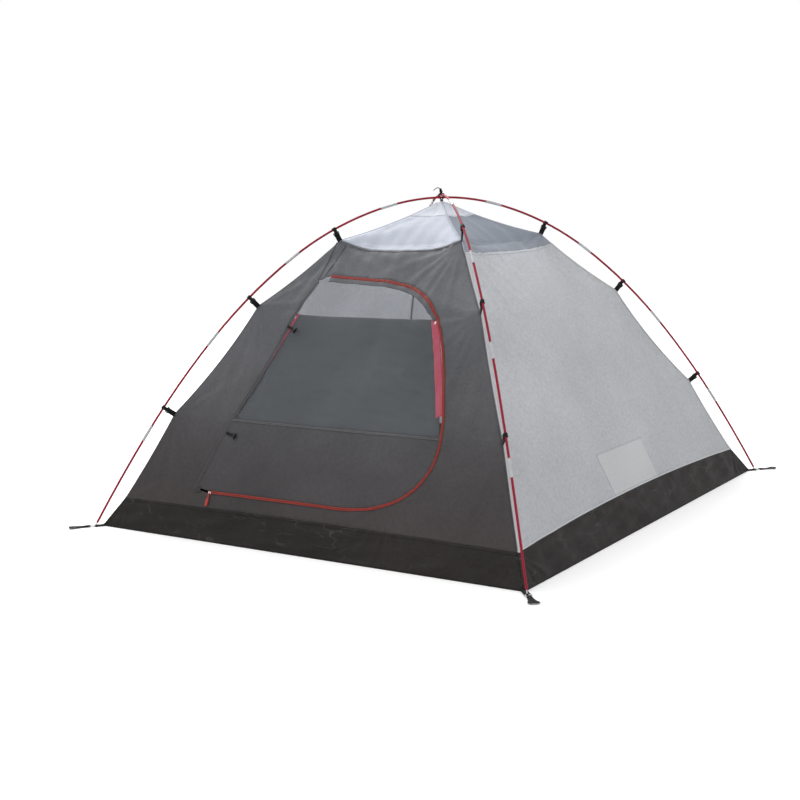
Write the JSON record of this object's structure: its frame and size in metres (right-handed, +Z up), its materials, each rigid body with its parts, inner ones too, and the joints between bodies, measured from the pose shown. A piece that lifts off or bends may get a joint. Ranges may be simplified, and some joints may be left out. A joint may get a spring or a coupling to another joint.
{
  "type": "dome tent",
  "caption": "Two-pole dome tent without a flysheet, with clipped-on fabric, a curved zipped door, mesh side panels in the roof and a tub floor.",
  "frame": {"origin": "on the ground, straight under the crossing of the poles", "axes": "+Z up, the door wall faces -Y, +X to the right seen from the door"},
  "size_m": [1.999, 2.272, 1.2385],
  "materials": {
    "tub_cloth": "coated polyethylene cloth, dark brown black, low sheen",
    "wall_cloth_dark": "plain woven polyester, dark grey",
    "wall_cloth_light": "plain woven polyester, light grey",
    "mesh": "fine insect mesh, grey",
    "binding": "folded polyester tape, pale grey",
    "zip_tape": "red zip tape with a nylon coil",
    "cover_zip": "red zip tape behind mesh",
    "slider_metal": "die-cast zip slider, bare metal",
    "slider_plastic": "white zip slider",
    "fibreglass": "red pultruded fibreglass",
    "steel": "drawn steel sleeve",
    "shock_cord": "braided elastic cord",
    "hook_plastic": "moulded black acetal",
    "webbing": "black polypropylene webbing"
  },
  "bodies": {
    "tent": {"floor_sheet": "tub_cloth", "tub_front": "tub_cloth", "tub_back": "tub_cloth", "tub_left": "tub_cloth", "tub_right": "tub_cloth", "front_wall": "wall_cloth_dark", "back_wall": "wall_cloth_light", "left_wall": "wall_cloth_light", "right_wall": "wall_cloth_light", "roof_front": "wall_cloth_light", "roof_back": "wall_cloth_light", "roof_left": "mesh", "roof_right": "mesh", "roof_cap": "wall_cloth_light", "ridge_bindings": "binding", "pocket_right": "mesh", "lantern_tab": "webbing", "zip_wall_half": "zip_tape", "zip_garage": "webbing", "pole_a_sections": "fibreglass", "pole_b_sections": "fibreglass", "pole_ferrules": "steel", "shock_cords": "shock_cord", "corner_pins": "steel", "corner_webbings": "webbing", "hook_straps": "webbing", "apex_tie": "webbing", "apex_tails": "webbing"},
    "door": {"door_lower": "wall_cloth_dark", "door_mesh": "mesh", "zip_door_half": "zip_tape", "cover_zips": "cover_zip"},
    "storm_cover": {"storm_cover": "wall_cloth_dark"},
    "cover_slider_left": {"cover_slider_left": "slider_plastic"},
    "cover_slider_right": {"cover_slider_right": "slider_plastic"},
    "door_slider": {"door_slider": "slider_metal"},
    "door_puller": {"door_puller": "zip_tape"},
    "toggle_upper": {"toggle_upper": "hook_plastic", "toggle_strap_upper": "webbing"},
    "toggle_lower": {"toggle_lower": "hook_plastic", "toggle_strap_lower": "webbing"},
    "hook_front_left_1": {"hook_front_left_1": "hook_plastic"},
    "hook_front_left_2": {"hook_front_left_2": "hook_plastic"},
    "hook_front_left_3": {"hook_front_left_3": "hook_plastic"},
    "peg_loop_front_left": {"peg_loop_front_left": "webbing"},
    "hook_front_right_1": {"hook_front_right_1": "hook_plastic"},
    "hook_front_right_2": {"hook_front_right_2": "hook_plastic"},
    "hook_front_right_3": {"hook_front_right_3": "hook_plastic"},
    "peg_loop_front_right": {"peg_loop_front_right": "webbing"},
    "hook_back_left_1": {"hook_back_left_1": "hook_plastic"},
    "hook_back_left_2": {"hook_back_left_2": "hook_plastic"},
    "hook_back_left_3": {"hook_back_left_3": "hook_plastic"},
    "peg_loop_back_left": {"peg_loop_back_left": "webbing"},
    "hook_back_right_1": {"hook_back_right_1": "hook_plastic"},
    "hook_back_right_2": {"hook_back_right_2": "hook_plastic"},
    "hook_back_right_3": {"hook_back_right_3": "hook_plastic"},
    "peg_loop_back_right": {"peg_loop_back_right": "webbing"},
    "lantern_ring": {"lantern_ring": "hook_plastic"}
  },
  "joints": [
    {"name": "door_hinge", "type": "hinge", "parent": "tent", "child": "door", "pos_m": [-0.308, -0.55983, 0.804], "axis": [-0.2576, -0.522, -0.8131], "range_deg": [0, 120]},
    {"name": "storm_cover_fold", "type": "hinge", "parent": "door", "child": "storm_cover", "pos_m": [0, -0.8049, 0.4084], "axis": [-1, 0, 0], "range_deg": [0, 95]},
    {"name": "cover_slider_left_slide", "type": "slide", "parent": "door", "child": "cover_slider_left", "axis": [-0.2438, -0.4813, -0.842], "range_m": [0, 0.12]},
    {"name": "cover_slider_right_slide", "type": "slide", "parent": "door", "child": "cover_slider_right", "axis": [0.3058, -0.4725, -0.8266], "range_m": [0, 0.12]},
    {"name": "door_slider_slide", "type": "slide", "parent": "tent", "child": "door_slider", "axis": [1, 0, 0], "range_m": [0, 0.55]},
    {"name": "puller_swing", "type": "hinge", "parent": "door_slider", "child": "door_puller", "pos_m": [-0.446, -0.93486, 0.15633], "axis": [-1, 0, 0], "range_deg": [0, 150]},
    {"name": "toggle_upper_swing", "type": "hinge", "parent": "door", "child": "toggle_upper", "pos_m": [-0.31821, -0.59588, 0.73599], "axis": [-0.4067, -0.4976, -0.7662], "range_deg": [0, 60]},
    {"name": "toggle_lower_swing", "type": "hinge", "parent": "door", "child": "toggle_lower", "pos_m": [-0.43542, -0.83359, 0.36057], "axis": [-0.2419, -0.4253, -0.8721], "range_deg": [0, 60]},
    {"name": "hook_front_left_1_unclip", "type": "slide", "parent": "tent", "child": "hook_front_left_1", "axis": [-0.2971, -0.3391, 0.8926], "range_m": [0, 0.008]},
    {"name": "hook_front_left_2_unclip", "type": "slide", "parent": "tent", "child": "hook_front_left_2", "axis": [-0.4503, -0.5139, 0.7302], "range_m": [0, 0.008]},
    {"name": "hook_front_left_3_unclip", "type": "slide", "parent": "tent", "child": "hook_front_left_3", "axis": [-0.5358, -0.6116, 0.5821], "range_m": [0, 0.008]},
    {"name": "peg_loop_front_left_lift", "type": "hinge", "parent": "tent", "child": "peg_loop_front_left", "pos_m": [-0.94127, -1.07428, 0.001], "axis": [-0.7521, 0.659, 0], "range_deg": [0, 80]},
    {"name": "hook_front_right_1_unclip", "type": "slide", "parent": "tent", "child": "hook_front_right_1", "axis": [0.2971, -0.3391, 0.8926], "range_m": [0, 0.008]},
    {"name": "hook_front_right_2_unclip", "type": "slide", "parent": "tent", "child": "hook_front_right_2", "axis": [0.4503, -0.5139, 0.7302], "range_m": [0, 0.008]},
    {"name": "hook_front_right_3_unclip", "type": "slide", "parent": "tent", "child": "hook_front_right_3", "axis": [0.5358, -0.6116, 0.5821], "range_m": [0, 0.008]},
    {"name": "peg_loop_front_right_lift", "type": "hinge", "parent": "tent", "child": "peg_loop_front_right", "pos_m": [0.94127, -1.07428, 0.001], "axis": [-0.7521, -0.659, 0], "range_deg": [0, 80]},
    {"name": "hook_back_left_1_unclip", "type": "slide", "parent": "tent", "child": "hook_back_left_1", "axis": [-0.2971, 0.3391, 0.8926], "range_m": [0, 0.008]},
    {"name": "hook_back_left_2_unclip", "type": "slide", "parent": "tent", "child": "hook_back_left_2", "axis": [-0.4503, 0.5139, 0.7302], "range_m": [0, 0.008]},
    {"name": "hook_back_left_3_unclip", "type": "slide", "parent": "tent", "child": "hook_back_left_3", "axis": [-0.5358, 0.6116, 0.5821], "range_m": [0, 0.008]},
    {"name": "peg_loop_back_left_lift", "type": "hinge", "parent": "tent", "child": "peg_loop_back_left", "pos_m": [-0.94127, 1.07428, 0.001], "axis": [0.7521, 0.659, 0], "range_deg": [0, 80]},
    {"name": "hook_back_right_1_unclip", "type": "slide", "parent": "tent", "child": "hook_back_right_1", "axis": [0.2971, 0.3391, 0.8926], "range_m": [0, 0.008]},
    {"name": "hook_back_right_2_unclip", "type": "slide", "parent": "tent", "child": "hook_back_right_2", "axis": [0.4503, 0.5139, 0.7302], "range_m": [0, 0.008]},
    {"name": "hook_back_right_3_unclip", "type": "slide", "parent": "tent", "child": "hook_back_right_3", "axis": [0.5358, 0.6116, 0.5821], "range_m": [0, 0.008]},
    {"name": "peg_loop_back_right_lift", "type": "hinge", "parent": "tent", "child": "peg_loop_back_right", "pos_m": [0.94127, 1.07428, 0.001], "axis": [0.7521, -0.659, 0], "range_deg": [0, 80]},
    {"name": "lantern_ring_swing", "type": "hinge", "parent": "tent", "child": "lantern_ring", "pos_m": [0, 0, 1.1705], "axis": [0, 1, 0], "range_deg": [-60, 60]}
  ]
}
